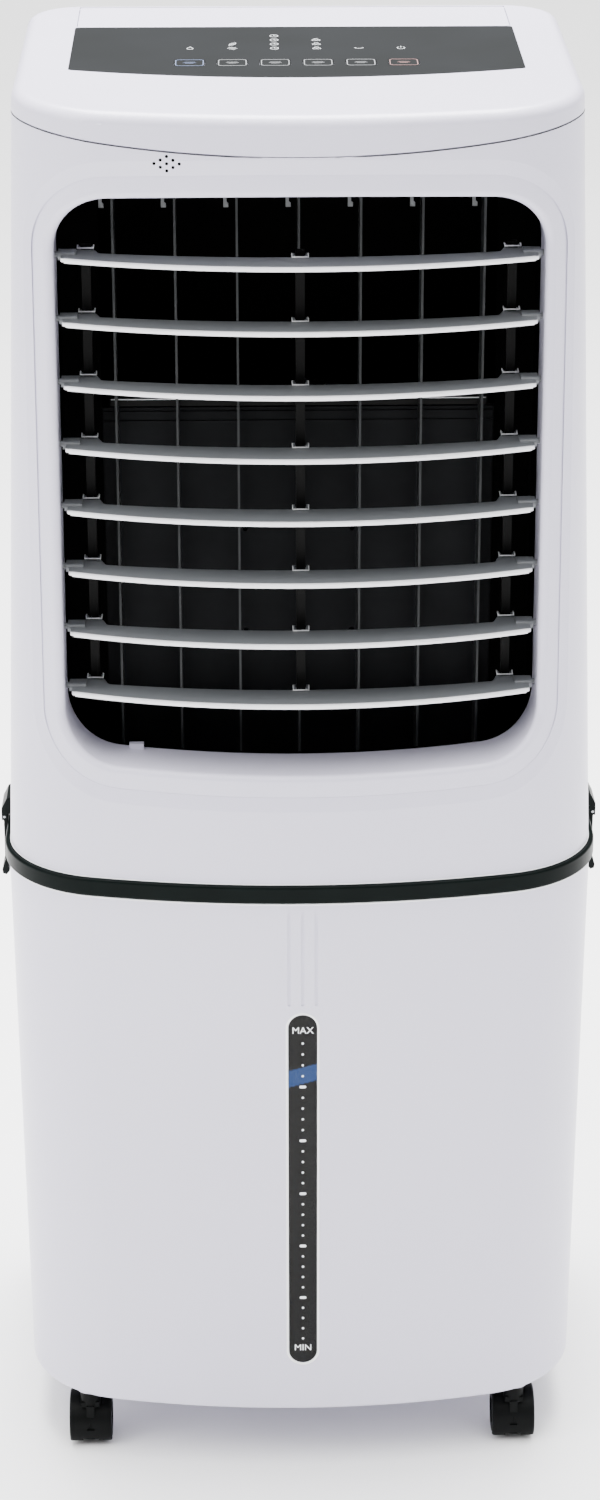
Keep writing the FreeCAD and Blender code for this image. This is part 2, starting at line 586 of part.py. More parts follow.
def fan_motor():
    can = rod(52, (0, MOTOR_FRONT, BLOWER_Z), (0, MOTOR_FRONT + 42, BLOWER_Z))
    rear_edge = [e for e in can.Edges if e.BoundBox.YMin > MOTOR_FRONT + 41]
    can = can.makeFillet(6.0, rear_edge)
    flange = round_edges(box(-56, 56, MOTOR_FRONT, MOTOR_FRONT + 3, BLOWER_Z - 56, BLOWER_Z + 56), V(0, 1, 0), 10.0)
    bolts = [rod(2.0, (x, MOTOR_FRONT - 1, z), (x, MOTOR_FRONT + 4, z))
             for x in (-45, 45) for z in (BLOWER_Z - 45, BLOWER_Z + 45)]
    bore = rod(5 + FIT, (0, MOTOR_FRONT + 5, BLOWER_Z), (0, MOTOR_FRONT + 50, BLOWER_Z))
    return fuse([can, flange]).cut(bolts + [bore])


def motor_shaft():
    return rod(5, (0, MOTOR_FRONT + 6, BLOWER_Z), (0, MOTOR_FRONT + 72, BLOWER_Z))


def blower_wheel():
    y_plate, y_end = MOTOR_FRONT + 50, BLOWER_BACK - 14
    plate = rod(WHEEL_OUT_R, (0, y_plate, BLOWER_Z), (0, y_plate + 2.5, BLOWER_Z))
    hub = rod(14, (0, y_plate, BLOWER_Z), (0, y_plate + 22, BLOWER_Z))
    ring_out = rod(WHEEL_OUT_R, (0, y_end - 4, BLOWER_Z), (0, y_end, BLOWER_Z))
    ring = ring_out.cut(rod(112, (0, y_end - 5, BLOWER_Z), (0, y_end + 1, BLOWER_Z)))
    blade = box(112, WHEEL_OUT_R - 0.5, y_plate, y_end, BLOWER_Z - 0.8, BLOWER_Z + 0.8)
    blade.rotate(V(122, 0, BLOWER_Z), V(0, 1, 0), 28)
    blades = []
    for k in range(36):
        one = blade.copy()
        one.rotate(V(0, 0, BLOWER_Z), V(0, 1, 0), 10 * k)
        blades.append(one)
    wheel = fuse([plate, hub, ring] + blades)
    return wheel.cut(rod(5, (0, y_plate - 1, BLOWER_Z), (0, y_plate + 22 + 1, BLOWER_Z)))


# ---- cooling pad cassette -----------------------------------------------------------------------
def rear_grille():
    half, low, high = GRILLE_HALF - 0.5, GRILLE_LOW + 0.5, GRILLE_HIGH - 0.5
    plate = round_edges(box(-half, half, BACK_Y - 6, BACK_Y, low, high), V(0, 1, 0), 11.5)
    slots = []
    rows = 34
    for row in range(rows):
        z = low + 16 + row * (high - low - 32 - 8) / (rows - 1)
        slots += [box(x0, x1, BACK_Y - 7, BACK_Y + 1, z, z + 8) for x0, x1 in ((-168, -3), (3, 168))]
    rim = box(-172, 172, 146, BACK_Y - 5, 617, 1119)
    rim = rim.cut(box(-170, 170, 145, BACK_Y - 6, 619, 1117))
    pull = box(-30, 30, BACK_Y - 1, BACK_Y + 2, high - 14, high - 4)
    pull = round_edges(pull, V(0, 1, 0), 4.0)
    return fuse([plate.cut(slots), rim, pull])


def cooling_pad():
    return box(-169.5, 169.5, 148, 190, 619.5, 1116.5)


def dust_filter():
    sheet = box(-169.5, 169.5, 190.5, 194, 619.5, 1116.5)
    cells = [box(-162 + 54.2 * i, -162 + 54.2 * i + 50, 190, 195, z, z + 76)
             for i in range(6) for z in (627, 708, 789, 870, 951, 1032)]
    mesh = sheet.cut(cells)
    return mesh.fuse(box(-168, 168, 191.8, 192.6, 621, 1115)).removeSplitter()


def water_distributor():
    trough = box(-172, 172, 146, 190, 1127, 1150).cut(box(-170, 170, 148, 188, 1130, 1151))
    drips = [rod(1.6, (-160 + 20 * i, 168, 1126), (-160 + 20 * i, 168, 1131)) for i in range(17)]
    return trough.cut(drips)


# ---- water circuit ------------------------------------------------------------------------------
PUMP = (-120.0, 95.0)
HOSE_R = 7.5


def water_pump():
    x, y = PUMP
    base = round_edges(box(x - 34, x + 34, y - 30, y + 30, 64, 98), V(0, 0, 1), 9.0)
    motor = rod(22, (x, y, 97), (x, y, 132))
    outlet = rod(6.5, (x, y - 20, 84), (x, y - 46, 84))
    return fuse([base, motor, outlet])


def hose_route():
    x, y = PUMP
    return [V(x, y - 46, 84), V(x, -60, 84), V(-150, -130, 150), V(-120, -150, 300), V(-50, -168, 362),
            V(50, -168, 388), V(140, -110, 420), V(214, 0, 500), V(216, 100, 600), V(212, 120, 760),
            V(210, 120, 960), V(208, 126, 1100), V(196, 150, 1162), V(162, 168, 1162), V(160, 168, 1140)]


def bent_path(points):
    """Straight runs joined by tangent arcs, each arc as large as its two runs allow."""
    edges, here = [], points[0]
    for before, at, after in zip(points, points[1:], points[2:]):
        back, ahead = (before - at), (after - at)
        run = 0.45 * min(back.Length, ahead.Length)
        turn = math.pi - back.getAngle(ahead)
        radius = run / math.tan(turn / 2)
        start, end = at + back.normalize() * run, at + ahead.normalize() * run
        inward = (back + ahead).normalize()
        middle = at + inward * (radius / math.cos(turn / 2) - radius)
        edges.append(Part.LineSegment(here, start).toShape())
        edges.append(Part.Arc(start, middle, end).toShape())
        here = end
    edges.append(Part.LineSegment(here, points[-1]).toShape())
    return Part.Wire(edges)


def water_hose():
    path = bent_path(hose_route())
    start = hose_route()[0]
    direction = (hose_route()[1] - start).normalize()
    profile = Part.Wire(Part.makeCircle(HOSE_R, start, direction))
    hose = path.makePipeShell([profile], True, True)
    print("hose length %.0f, volume ratio %.3f"
          % (path.Length, hose.Volume / (math.pi * HOSE_R ** 2 * path.Length)))
    return hose


def drain_plug():
    head = rod(15, (DRAIN_X, BACK_Y + 0.3, DRAIN_Z), (DRAIN_X, BACK_Y + 5, DRAIN_Z))
    shank = rod(9, (DRAIN_X, BACK_Y - 9, DRAIN_Z), (DRAIN_X, BACK_Y + 1, DRAIN_Z))
    grip = box(DRAIN_X - 12, DRAIN_X + 12, BACK_Y + 4, BACK_Y + 8.5, DRAIN_Z - 2.5, DRAIN_Z + 2.5)
    return fuse([head, shank, round_edges(grip, V(0, 1, 0), 2.0)])


def cord_gland():
    flange = rod(12, (CORD_X, BACK_Y, CORD_Z), (CORD_X, BACK_Y + 3, CORD_Z))
    barrel = rod(7, (CORD_X, BACK_Y - 8, CORD_Z), (CORD_X, BACK_Y + 8, CORD_Z))
    bore = rod(3.8, (CORD_X, BACK_Y - 9, CORD_Z), (CORD_X, BACK_Y + 13, CORD_Z))
    return fuse([flange, barrel]).cut(bore)


def case_screws():
    screws = []
    for x, z in SCREW_SPOTS:
        head = rod(3.8, (x, BACK_Y, z), (x, BACK_Y + 2.2, z))
        shank = rod(2.0, (x, BACK_Y - 9, z), (x, BACK_Y + 0.5, z))
        slot = [box(x - 2.4, x + 2.4, BACK_Y + 1.2, BACK_Y + 3, z - 0.5, z + 0.5),
                box(x - 0.5, x + 0.5, BACK_Y + 1.2, BACK_Y + 3, z - 2.4, z + 2.4)]
        screws.append(fuse([head, shank]).cut(slot))
    return Part.Compound(screws)


# ---- side latches -------------------------------------------------------------------------------
def latch_pocket(side):
    """The hole in the tank wall that a latch's hook goes into."""
    y0, y1 = LATCH_Y
    pocket = box(243, 256, y0 + 8, y1 - 8, 525, 538)
    return pocket if side > 0 else mirror_x(pocket)


def latch_catch(side):
    """Wedge on the housing wall with two ears that carry the latch pin."""
    y0, y1 = LATCH_Y
    px, pz = LATCH_PIN
    wall = housing_half(580) - 1
    wedge = polygon_xz([(wall, 591), (wall, 574), (258.8, 574), (258.6, 579), (254, 588)], y0, y1)
    ears = [box(253.9, 258.6, a, a + 5, 568.2, 574) for a in (y0, y1 - 5)]
    piece = fuse([wedge] + ears).cut(housing_form(560, 610))
    piece = piece.cut(rod(1.2, (px, y0 - 1, pz), (px, y1 + 1, pz)))
    return piece if side > 0 else mirror_x(piece)


def latch_lever(side):
    """Lever that lies over the band, with a hook for the tank wall and a flared finger tip."""
    y0, y1 = LATCH_Y[0] + 5.4, LATCH_Y[1] - 5.4
    px, pz = LATCH_PIN
    barrel = rod(2.2, (px, y0, pz), (px, y1, pz))
    plate = polygon_xz([(254.2, pz), (254.2, 524), (253.6, 518), (256.4, 514.5), (259.6, 515.6),
                        (260.2, 519), (257.2, 529), (257.4, pz)], y0, y1)
    hook = box(248, 255, LATCH_Y[0] + 9, LATCH_Y[1] - 9, 531, 535)
    lever = fuse([barrel, plate, hook]).cut(rod(1.2 + FIT, (px, y0 - 1, pz), (px, y1 + 1, pz)))
    return lever if side > 0 else mirror_x(lever)


def latch_pins():
    px, pz = LATCH_PIN
    return Part.Compound([rod(1.2, (side * px, LATCH_Y[0] + 0.5, pz), (side * px, LATCH_Y[1] - 0.5, pz))
                          for side in (-1, 1)])


# ---- casters ------------------------------------------------------------------------------------
HOOD_R, HOOD_IN_R, HOOD_HALF = 24.5, 21.3, 19.0
HOOD_LOW = 6.0              # lower edge of the hood's front


def caster_hood(x, y):
    """Stem, collar and the hood that covers the twin wheels; the axle crosses its middle web."""
    wy = y + CASTER_TRAIL
    stem = rod(5, (x, y, 40), (x, y, TANK_BASE_Z + 20))
    collar = rod(9, (x, y, 40), (x, y, TANK_BASE_Z - 0.6))
    web = rod(19, (x - 3.5, wy, WHEEL_R), (x + 3.5, wy, WHEEL_R))
    web = web.cut(box(x - 5, x + 5, wy - 25, wy + 25, -5, 5))
    cover = rod(HOOD_R, (x - HOOD_HALF, wy, WHEEL_R), (x + HOOD_HALF, wy, WHEEL_R))
    cover = cover.makeFillet(2.2, [e for e in cover.Edges if e.Length > 100 and e.BoundBox.XLength < 0.1])
    cover = cover.cut([rod(HOOD_IN_R, (x - 20, wy, WHEEL_R), (x + 20, wy, WHEEL_R)),
                       box(x - 30, x + 30, wy - 40, wy + 40, -40, HOOD_LOW),
                       box(x - 30, x + 30, wy + 9, wy + 60, -40, 60),
                       box(x - 7, x + 7, wy - 40, wy, -40, HOOD_LOW + 2.5)])
    neck = box(x - 8, x + 8, y - 8, wy + 6, WHEEL_R + 20.6, 45.5)
    spine = box(x - 3.5, x + 3.5, wy - 22, wy + 5, HOOD_LOW + 2.5, WHEEL_R + 22)
    bar = box(x - 3.4, x + 3.4, wy - 30, wy - 23, WHEEL_R - 1, WHEEL_R + 1.6)
    groove = box(x - 0.7, x + 0.7, wy - 30, wy - 23, WHEEL_R + 1, WHEEL_R + 8)
    axle_bore = rod(3 + FIT, (x - 9, wy, WHEEL_R), (x + 9, wy, WHEEL_R))
    body = fuse([collar, web, cover, neck, spine]).cut([bar, groove, axle_bore])
    return fuse([body, stem])


def caster_wheels(x, y):
    wy = y + CASTER_TRAIL
    pieces = [rod(3, (x - 12, wy, WHEEL_R), (x + 12, wy, WHEEL_R))]
    for side in (-1, 1):
        wheel = rod(WHEEL_R, (x + side * 4.3, wy, WHEEL_R), (x + side * 18.8, wy, WHEEL_R))
        rim = [e for e in wheel.Edges if abs(abs(e.CenterOfMass.x - x) - 18.8) < 0.05 and e.Length > 60]
        hub_dish = rod(12, (x + side * 17.6, wy, WHEEL_R), (x + side * 20, wy, WHEEL_R))
        pieces.append(wheel.makeFillet(2.0, rim).cut(hub_dish))
    return fuse(pieces)


# ---- all parts ------------------------------------------------------------------------------------
def main():
    os.makedirs("parts", exist_ok=True)
    save("water_tank", water_tank())
    save("level_window", level_window())
    save("waist_band", waist_band())
    save("upper_housing", upper_housing())
    save("outlet_frame", outlet_frame())
    save("top_cap", top_cap())
    save("control_panel", control_panel())
    save("control_board", control_board())
    save("top_lid", top_lid())
    for i in range(KEY_COUNT):
        save("key_%d" % (i + 1), key(i))
    louver = louver_at_origin()
    for i in range(LOUVER_COUNT):
        placed = louver.copy()
        placed.translate(V(0, louver_y(i), louver_z(i)))
        save("louver_%d" % (i + 1), placed)
    side_bars = [louver_link_bar(side * SIDE_LINK_X, SIDE_LINK_DY) for side in (-1, 1)]
    save("louver_side_links", Part.Compound(side_bars))
    save("louver_centre_link", louver_link_bar(0, CENTRE_LINK_DY))
    for i, x in enumerate(vane_places()):
        save("vane_%d" % (i + 1), vane(x))
    save("vane_link", vane_link())
    save("swing_motor", swing_motor())
    save("blower_housing", blower_housing())
    save("blower_cover", blower_cover())
    save("fan_motor", fan_motor())
    save("motor_shaft", motor_shaft())
    save("blower_wheel", blower_wheel())
    save("rear_grille", rear_grille())
    save("cooling_pad", cooling_pad())
    save("dust_filter", dust_filter())
    save("water_distributor", water_distributor())
    save("water_pump", water_pump())
    save("water_hose", water_hose())
    save("drain_plug", drain_plug())
    save("cord_gland", cord_gland())
    save("case_screws", case_screws())
    save("latch_catches", Part.Compound([latch_catch(side) for side in (-1, 1)]))
    save("latch_left", latch_lever(-1))
    save("latch_right", latch_lever(1))
    save("latch_pins", latch_pins())
    for i, (x, y) in enumerate(CASTER_POSTS):
        save("caster_hood_%d" % (i + 1), caster_hood(x, y))
        save("caster_wheels_%d" % (i + 1), caster_wheels(x, y))


main()
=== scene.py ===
# %% [markdown]
# # A tall evaporative cooler
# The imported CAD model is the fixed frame: white ABS shells, louvers, vanes, keys and casters that
# move. This notebook gives every part its finish and adds what is finer than the CAD: printed
# marks, pictograms, the ribs of the water hose and the paper of the cooling pad.

# %% Load the frame
import math

import bmesh
import bpy
from mathutils import Matrix, Vector
from mathutils.bvhtree import BVHTree


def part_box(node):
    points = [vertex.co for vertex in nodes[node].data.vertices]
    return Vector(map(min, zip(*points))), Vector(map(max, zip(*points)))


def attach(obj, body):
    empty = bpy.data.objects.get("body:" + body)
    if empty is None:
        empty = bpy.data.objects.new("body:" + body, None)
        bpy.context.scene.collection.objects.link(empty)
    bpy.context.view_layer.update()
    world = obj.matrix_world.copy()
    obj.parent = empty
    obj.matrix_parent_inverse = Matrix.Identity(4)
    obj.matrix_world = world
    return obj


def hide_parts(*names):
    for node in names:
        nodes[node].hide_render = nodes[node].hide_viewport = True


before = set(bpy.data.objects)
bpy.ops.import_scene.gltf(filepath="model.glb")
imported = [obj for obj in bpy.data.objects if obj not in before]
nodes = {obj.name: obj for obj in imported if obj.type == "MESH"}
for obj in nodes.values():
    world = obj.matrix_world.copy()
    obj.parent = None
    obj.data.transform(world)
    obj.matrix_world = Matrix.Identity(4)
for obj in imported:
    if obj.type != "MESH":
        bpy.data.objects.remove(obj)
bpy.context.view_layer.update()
MM = 0.001

# %% [markdown]
# Colours are written as sRGB hex, because that is how a maker's colour card gives them, and one
# function turns them to the linear values that a shader wants. One small function adds a node,
# sets what it is told and links what it is given. Most moulded and printed surfaces share one
# recipe: a weak drift in tone, a roughness that changes with handling, and a fine texture.

# %% Colour and node helpers
def linear(hex_colour):
    channels = [int(hex_colour[i:i + 2], 16) / 255 for i in (0, 2, 4)]
    return tuple(c / 12.92 if c <= 0.04045 else ((c + 0.055) / 1.055) ** 2.4 for c in channels) + (1.0,)


def add(tree, kind, links=None, **settings):
    node = tree.nodes.new(kind)
    for name, value in settings.items():
        setattr(node, name, value)
    for socket, value in (links or {}).items():
        if isinstance(value, bpy.types.NodeSocket):
            tree.links.new(value, node.inputs[socket])
        else:
            node.inputs[socket].default_value = value
    return node


def new_material(name):
    material = bpy.data.materials.new(name)
    material.use_nodes = True
    tree = material.node_tree
    shader = tree.nodes["Principled BSDF"]
    place = add(tree, "ShaderNodeTexCoord").outputs["Object"]
    return material, tree, shader, place


def finish(name, tones, roughness, sizes_mm, details=(2, 2, 2), relief=(0.02, 0.3), stretch=None, **sockets):
    """A material whose tone, roughness and relief each vary over a size of their own.

    tones are two sRGB colours and roughness a low and a high value. sizes_mm are the sizes of the
    drift in tone, of the change in roughness and, if there is a third, of the texture, whose
    depth in millimetres and strength are the two numbers of relief."""
    material, tree, shader, place = new_material(name)
    if stretch:
        place = add(tree, "ShaderNodeMapping", {"Vector": place, "Scale": stretch}).outputs[0]
    lumps = []
    for size, detail in zip(sizes_mm, details):
        noise = add(tree, "ShaderNodeTexNoise", {"Vector": place, "Scale": 1 / (size * MM), "Detail": detail})
        lumps.append(noise.outputs["Fac"])
    share = add(tree, "ShaderNodeMapRange", {"Value": lumps[0], "From Min": 0.3, "From Max": 0.7})
    blend = {0: share.outputs["Result"], 6: linear(tones[0]), 7: linear(tones[1])}
    colour = add(tree, "ShaderNodeMix", blend, data_type="RGBA")
    tree.links.new(colour.outputs[2], shader.inputs["Base Color"])
    wear = add(tree, "ShaderNodeMapRange",
               {"Value": lumps[1], "To Min": roughness[0], "To Max": roughness[1]})
    tree.links.new(wear.outputs["Result"], shader.inputs["Roughness"])
    if len(lumps) > 2:
        bump = add(tree, "ShaderNodeBump",
                   {"Height": lumps[2], "Distance": relief[0] * MM, "Strength": relief[1]})
        tree.links.new(bump.outputs["Normal"], shader.inputs["Normal"])
    for socket, value in sockets.items():
        shader.inputs[socket.replace("_", " ")].default_value = value
    return material


print("white in linear light", [round(c, 3) for c in linear("f2f2f3")])


# %% [markdown]
# A camera a little above head height looks down at the cooler from straight ahead. The world is
# a plain white studio, brightest overhead. A soft box on the left makes that side of the shells a
# little lighter, and a large one overhead, slightly behind, brightens the floor and the top and
# lays a soft shadow under the tank and in front of it.

# %% Camera
CAMERA_TILT = 21.34         # degrees below the horizon
CAMERA_YAW = 1.36
camera_data = bpy.data.cameras.new("camera")
camera = bpy.data.objects.new("camera", camera_data)
bpy.context.scene.collection.objects.link(camera)
camera.location = (-0.0506, -2.7244, 1.6748)
camera.rotation_euler = (math.radians(90 - CAMERA_TILT), 0, math.radians(-CAMERA_YAW))
camera_data.lens = 79.6
camera_data.shift_x = -0.0092
camera_data.dof.use_dof = False
camera_data.clip_end = 200
bpy.context.scene.camera = camera


# %% Lights and world
def area_light(name, place, target, size, power):
    data = bpy.data.lights.new(name, "AREA")
    data.shape = "RECTANGLE"
    data.size, data.size_y = size
    data.energy = power
    lamp = bpy.data.objects.new(name, data)
    lamp.location = place
    lamp.rotation_euler = (Vector(target) - Vector(place)).to_track_quat("-Z", "Y").to_euler()
    bpy.context.scene.collection.objects.link(lamp)
    print(name, "watts", power)


HORIZON, ZENITH = 0.2, 8.0   # strength of the world's light
OVERHEAD_FALL = 4.0         # how fast the light falls off away from the zenith


def studio_world():
    """White light that grows from the horizon to the zenith, as under a wide overhead diffuser."""
    world = bpy.data.worlds.new("studio")
    world.use_nodes = True
    tree = world.node_tree
    way = add(tree, "ShaderNodeTexCoord").outputs["Generated"]
    height = add(tree, "ShaderNodeSeparateXYZ", {"Vector": way}).outputs["Z"]
    above = add(tree, "ShaderNodeMath", {0: height, 1: 0.0}, operation="MAXIMUM").outputs[0]
    overhead = add(tree, "ShaderNodeMath", {0: above, 1: OVERHEAD_FALL}, operation="POWER").outputs[0]
    strength = add(tree, "ShaderNodeMapRange", {"Value": overhead, "To Min": HORIZON, "To Max": ZENITH})
    background = tree.nodes["Background"]
    background.inputs["Color"].default_value = (1, 1, 1, 1)
    tree.links.new(strength.outputs["Result"], background.inputs["Strength"])
    bpy.context.scene.world = world


studio_world()
area_light("key_left", (-2.8, -1.6, 2.6), (0, 0, 0.7), (1.8, 2.4), 75)
area_light("overhead_rear", (0, 1.0, 4.2), (0, -0.1, 0.6), (2.4, 2.4), 560)


# %% [markdown]
# The shells are injection-moulded ABS, polished in the mould: a cool light grey-white with a soft
# gloss. A faint orange peel a few millimetres wide keeps long highlights from looking like glass,
# and a much larger, very weak drift in tone is what big mouldings show from flow and handling.

# %% Moulded ABS
def moulded_abs(name, tones, roughness):
    return finish(name, tones, (roughness - 0.03, roughness + 0.03), (260, 40, 3), (1, 2, 2),
                  (0.02, 0.35), IOR=1.53)


shell_abs = moulded_abs("white moulded ABS", ("cecbdc", "d2cfe0"), 0.30)
lid_abs = moulded_abs("lid ABS", ("cfccdd", "d3d0e1"), 0.32)
grille_abs = moulded_abs("grille ABS", ("ccc9d9", "d0cddd"), 0.36)
# Whiter than the shell: painted highlight on the rims and round the window.
rim_highlight_white = moulded_abs("white rim ABS with painted highlight", ("f4f4f7", "fafafc"), 0.2)
# The staples' own natural white, also used for the vane link's painted highlight strip.
clip_white_and_link_highlight = moulded_abs("natural POM clip and painted link highlight", ("f0f0f2", "f8f8fa"), 0.3)
print("shell, lid, grille, rim and clip")


# %% [markdown]
# A louver is one moulding of white ABS, but it is given two tones: the rounded front lip stays bright white,
# while the blade behind it is painted dark grey, which is painted shade for the shade inside the outlet and
# the dark interior that the blade's top mirrors. The lip follows an arc, so a distance from the arc's centre
# tells lip from blade at any height of the leaning stack.

# %% Louver ABS with painted blade shade
LIP_DEPTH = 3.4 * MM
LIP_BORDER = 0.8 * MM       # over which lip turns into blade
LIP_HALF, LIP_BOW = 186.5 * MM, 36 * (186.5 / 189.5) ** 2 * MM
LIP_RADIUS = (LIP_HALF ** 2 + LIP_BOW ** 2) / (2 * LIP_BOW)
lowest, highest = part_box("louver_8")[0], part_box("louver_1")[0]
FRONT_LEAN = (highest.y - lowest.y) / (highest.z - lowest.z)


def lip_share_over_painted_shade(tree, place):
    """1 on the lip and 0 on the blade, whose dark grey is painted shade."""
    split = add(tree, "ShaderNodeSeparateXYZ", {"Vector": place})
    rise = add(tree, "ShaderNodeMath", {0: split.outputs["Z"], 1: lowest.z}, operation="SUBTRACT")
    lean = add(tree, "ShaderNodeMath", {0: rise.outputs[0], 1: FRONT_LEAN}, operation="MULTIPLY")
    centre = add(tree, "ShaderNodeMath", {0: lean.outputs[0], 1: lowest.y + LIP_RADIUS}, operation="ADD")
    depth = add(tree, "ShaderNodeMath", {0: split.outputs["Y"], 1: centre.outputs[0]}, operation="SUBTRACT")
    flat = add(tree, "ShaderNodeCombineXYZ", {"X": split.outputs["X"], "Y": depth.outputs[0]})
    radius = add(tree, "ShaderNodeVectorMath", {0: flat.outputs[0]}, operation="LENGTH")
    border = {"Value": radius.outputs["Value"], "From Min": LIP_RADIUS - LIP_DEPTH - LIP_BORDER,
              "From Max": LIP_RADIUS - LIP_DEPTH}
    return add(tree, "ShaderNodeMapRange", border).outputs["Result"]


def louver_plastic_painted_shade():
    # The blade's dark grey 6c6f72 is painted shade; the lip's white f8f8fb is the moulding's own colour.
    material = finish("louver ABS with painted blade shade", ("6c6f72", "f8f8fb"), (0.30, 0.38), (25, 25, 2.5))
    tree = material.node_tree
    place = tree.nodes["Texture Coordinate"].outputs["Object"]
    tree.links.new(lip_share_over_painted_shade(tree, place), tree.nodes["Mix"].inputs[0])
    return material


louver_abs_painted_shade = louver_plastic_painted_shade()
print("radius of the lip's arc, mm", round(LIP_RADIUS / MM))


# %% [markdown]
# Inside the outlet everything is black or dark grey polypropylene with a fine spark-eroded
# texture, so that the blades stand out against it. Such a surface scatters light and hardly
# mirrors the bright studio, so its sheen is low. The blower's front plate is a little lighter,
# and the edges of the vanes catch the light as thin grey lines.

# %% Textured dark plastics
def textured_dark(name, tones, roughness, texture_mm=0.9, depth_mm=0.05, sheen=0.05):
    return finish(name, tones, (roughness - 0.06, roughness + 0.06), (30, 6, texture_mm), (2, 2, 3),
                  (depth_mm, 0.5), Specular_IOR_Level=sheen)


frame_pp = textured_dark("black textured PP", ("020202", "040404"), 0.60, sheen=0.02)
cover_pp = textured_dark("dark grey PP", ("17181a", "1c1d1f"), 0.50, sheen=0.06)
vane_pp = textured_dark("vane PP", ("303233", "383a3b"), 0.40, sheen=0.2)
link_pom = textured_dark("black POM", ("050505", "080808"), 0.35, 1.5, 0.02, sheen=0.08)
band_pp = textured_dark("black band PP", ("070c0b", "0a100f"), 0.34, 1.6, 0.02, sheen=0.04)
latch_pp = textured_dark("black latch PP", ("0a0e0d", "0e1312"), 0.38, 1.2, 0.03, sheen=0.06)
caster_nylon = textured_dark("caster nylon", ("090a0a", "0d0e0e"), 0.42, 1.4, 0.03)
wheel_nylon = textured_dark("wheel nylon", ("0a0b0b", "101111"), 0.5, 1.1, 0.05)
# Painted shade: the dark grey of the seam line, standing for the shadow in the gap between housing and cap.
seam_shade_grey = textured_dark("painted seam shade grey", ("2a2a2c", "323234"), 0.7, 1.0, 0.02)
tab_pp = textured_dark("grey PP tab", ("6a6c6d", "747677"), 0.4, sheen=0.3)
pump_pp = textured_dark("pump PP", ("1a1b1d", "232427"), 0.45, sheen=0.2)
distributor_pp = textured_dark("natural PP", ("c4c6c8", "cfd0d2"), 0.4)
board_mask = textured_dark("green solder mask", ("0d4a28", "14582f"), 0.35, 2.0, 0.03)
print("thirteen textured plastics")


# %% [markdown]
# The control panel is a glossy film over smoke-grey acrylic. It is seen at a low angle, so most
# of what shows is its mirror-like coat, and the coat is nearly smooth with a trace of waviness.

# %% Panel film
def panel_film(name, tones):
    return finish(name, tones, (0.10, 0.16), (90, 20, 12), relief=(0.01, 0.2),
                  Specular_IOR_Level=0.3, Coat_Weight=0.2, Coat_Roughness=0.05)


panel_gloss = panel_film("smoke grey panel film", ("17191a", "1b1d1f"))
key_gloss = panel_film("smoke grey key film", ("151718", "191b1c"))
print("panel and key film")


# %% [markdown]
# The level window is smoked acrylic: light goes through it, tinted, so the hose behind it shows.
# Its index is lower than that of real acrylic, 1.49, which keeps the pale floor's reflection from
# veiling it. The steel of the motor, shaft, pins and screws is bright zinc plate with a fine
# brushed streak, so its noise is squeezed along one axis.

# %% Acrylic and steel
window_acrylic = finish("smoked acrylic", ("3e3d3b", "434240"), (0.04, 0.10), (80, 15),
                        Transmission_Weight=0.85, Specular_IOR_Level=0.15, IOR=1.2)
plated_steel = finish("zinc-plated steel", ("9c9ea2", "b4b6ba"), (0.25, 0.42), (3, 3),
                      stretch=(1, 1, 18), Metallic=1.0)
print("acrylic and steel")


# %% [markdown]
# Two finishes are made of a repeating structure: the dust filter is a woven net of plastic thread
# and the cooling pad is resin-treated paper. The net's thread spacing is 2.4 mm, coarser than the
# real 1 mm, so that it still shows.

# %% Net and paper
NET_PITCH = 2.4 * MM
WAVES_PER_SCALE = 0.314     # a wave texture of scale 1 repeats this often per unit


def woven_net():
    material, tree, shader, place = new_material("woven filter net")
    threads = []
    for axis in ("X", "Z"):
        wave = add(tree, "ShaderNodeTexWave", {"Vector": place, "Scale": WAVES_PER_SCALE / NET_PITCH},
                   bands_direction=axis)
        threads.append(wave.outputs["Fac"])
    weave = add(tree, "ShaderNodeMath", {0: threads[0], 1: threads[1]}, operation="MAXIMUM").outputs[0]
    share = add(tree, "ShaderNodeMapRange", {"Value": weave, "From Min": 0.55, "From Max": 0.85})
    blend = {0: share.outputs["Result"], 6: linear("08090a"), 7: linear("3b3d40")}
    colour = add(tree, "ShaderNodeMix", blend, data_type="RGBA")
    tree.links.new(colour.outputs[2], shader.inputs["Base Color"])
    bump = add(tree, "ShaderNodeBump", {"Height": weave, "Distance": 0.4 * MM, "Strength": 0.8})
    tree.links.new(bump.outputs["Normal"], shader.inputs["Normal"])
    shader.inputs["Roughness"].default_value = 0.6
    return material


filter_net = woven_net()
cellulose = finish("resin-treated pad paper", ("6e5233", "8d6d47"), (0.7, 0.85), (5, 5, 1.2), (4, 4, 3),
                   (0.15, 0.6))
print("net pitch, mm", round(NET_PITCH / MM, 1))


# %% [markdown]
# The hose is soft blue PVC. Daylight falls on it through the window, but little of that light finds its way
# back out through dark acrylic, so the short piece behind the window is given painted light: a blue emission
# of its own, though it is no lamp, that fades out within a few centimetres.

# %% Hose PVC with painted light
# Painted light: the strength of the hose's emission near the window, and where it fades.
HOSE_PAINTED_GLOW = 9.0
PAINTED_GLOW_SPOT = (0, -0.172, 0.375)
PAINTED_GLOW_FADE = (0.032, 0.022)  # metres from the spot where the glow begins and where it is full


